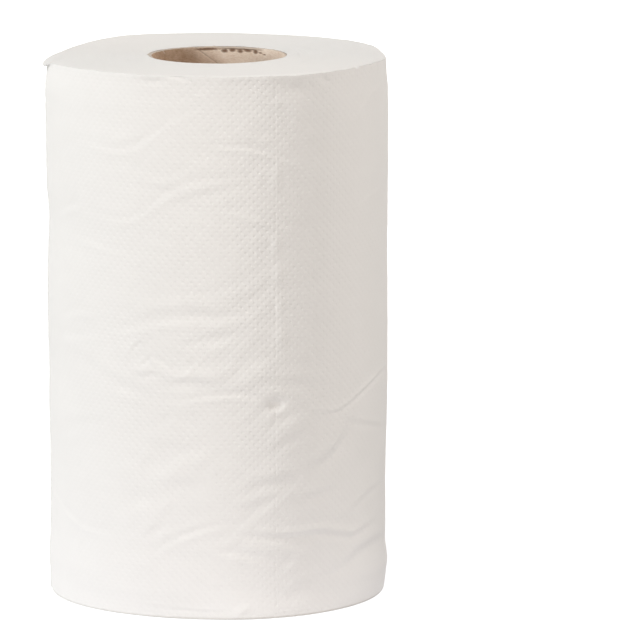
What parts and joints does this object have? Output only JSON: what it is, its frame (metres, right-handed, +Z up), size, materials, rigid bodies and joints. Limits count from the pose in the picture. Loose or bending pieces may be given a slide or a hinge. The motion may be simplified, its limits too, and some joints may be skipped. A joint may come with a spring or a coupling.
{
  "type": "paper towel roll",
  "caption": "Roll of embossed, perforated white paper towel wound on an open cardboard core, standing on its end.",
  "frame": {"origin": "middle of the lower end, on the core's axis", "axes": "+Z up along the core, -Y towards the viewer, with the loose tail at -X"},
  "size_m": [0.1291, 0.1274, 0.203],
  "materials": {
    "paper": "matte, embossed",
    "cardboard": "matte"
  },
  "bodies": {
    "root": {"paper_roll": "paper", "core_tube": "cardboard"}
  },
  "joints": []
}
